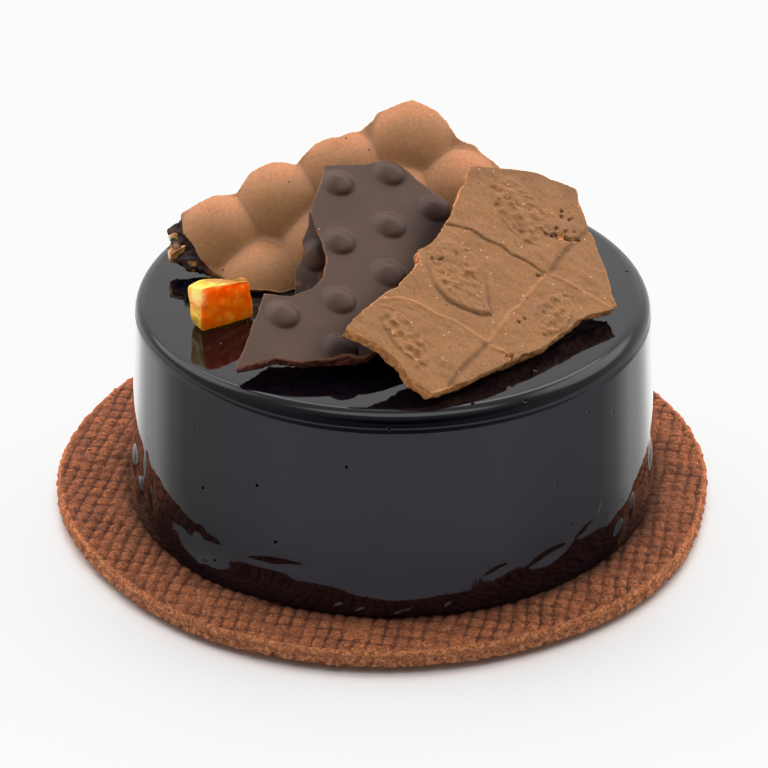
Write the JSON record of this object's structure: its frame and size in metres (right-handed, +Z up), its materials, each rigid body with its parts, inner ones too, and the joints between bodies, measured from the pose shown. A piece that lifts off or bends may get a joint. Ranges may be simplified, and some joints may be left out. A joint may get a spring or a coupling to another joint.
{
  "type": "glazed chocolate cake on a biscuit disc",
  "caption": "Single-portion round chocolate mousse cake with dark mirror glaze on a cocoa biscuit disc, topped with broken chocolate pieces and candied orange peel.",
  "frame": {"origin": "centre of the biscuit's flat underside, on the surface it stands on", "axes": "+Z up; -Y towards the viewer of the picture, +X to the viewer's right"},
  "size_m": [0.1052, 0.1048, 0.0581],
  "materials": {
    "biscuit": "rough, crumbly cocoa shortbread with a woven mat imprint",
    "glaze": "near-black mirror glaze",
    "milk_chocolate": "satin milk chocolate, rough where broken",
    "dark_chocolate": "satin dark chocolate, rough where broken",
    "candied_orange": "wet, translucent candied peel"
  },
  "bodies": {
    "root": {"biscuit_base": "biscuit", "glazed_cake": "glaze", "milk_bubble_shard": "milk_chocolate", "dark_bubble_shard": "dark_chocolate", "dark_chip": "dark_chocolate", "milk_pod_shard": "milk_chocolate", "candied_orange_cube": "candied_orange"}
  },
  "joints": []
}
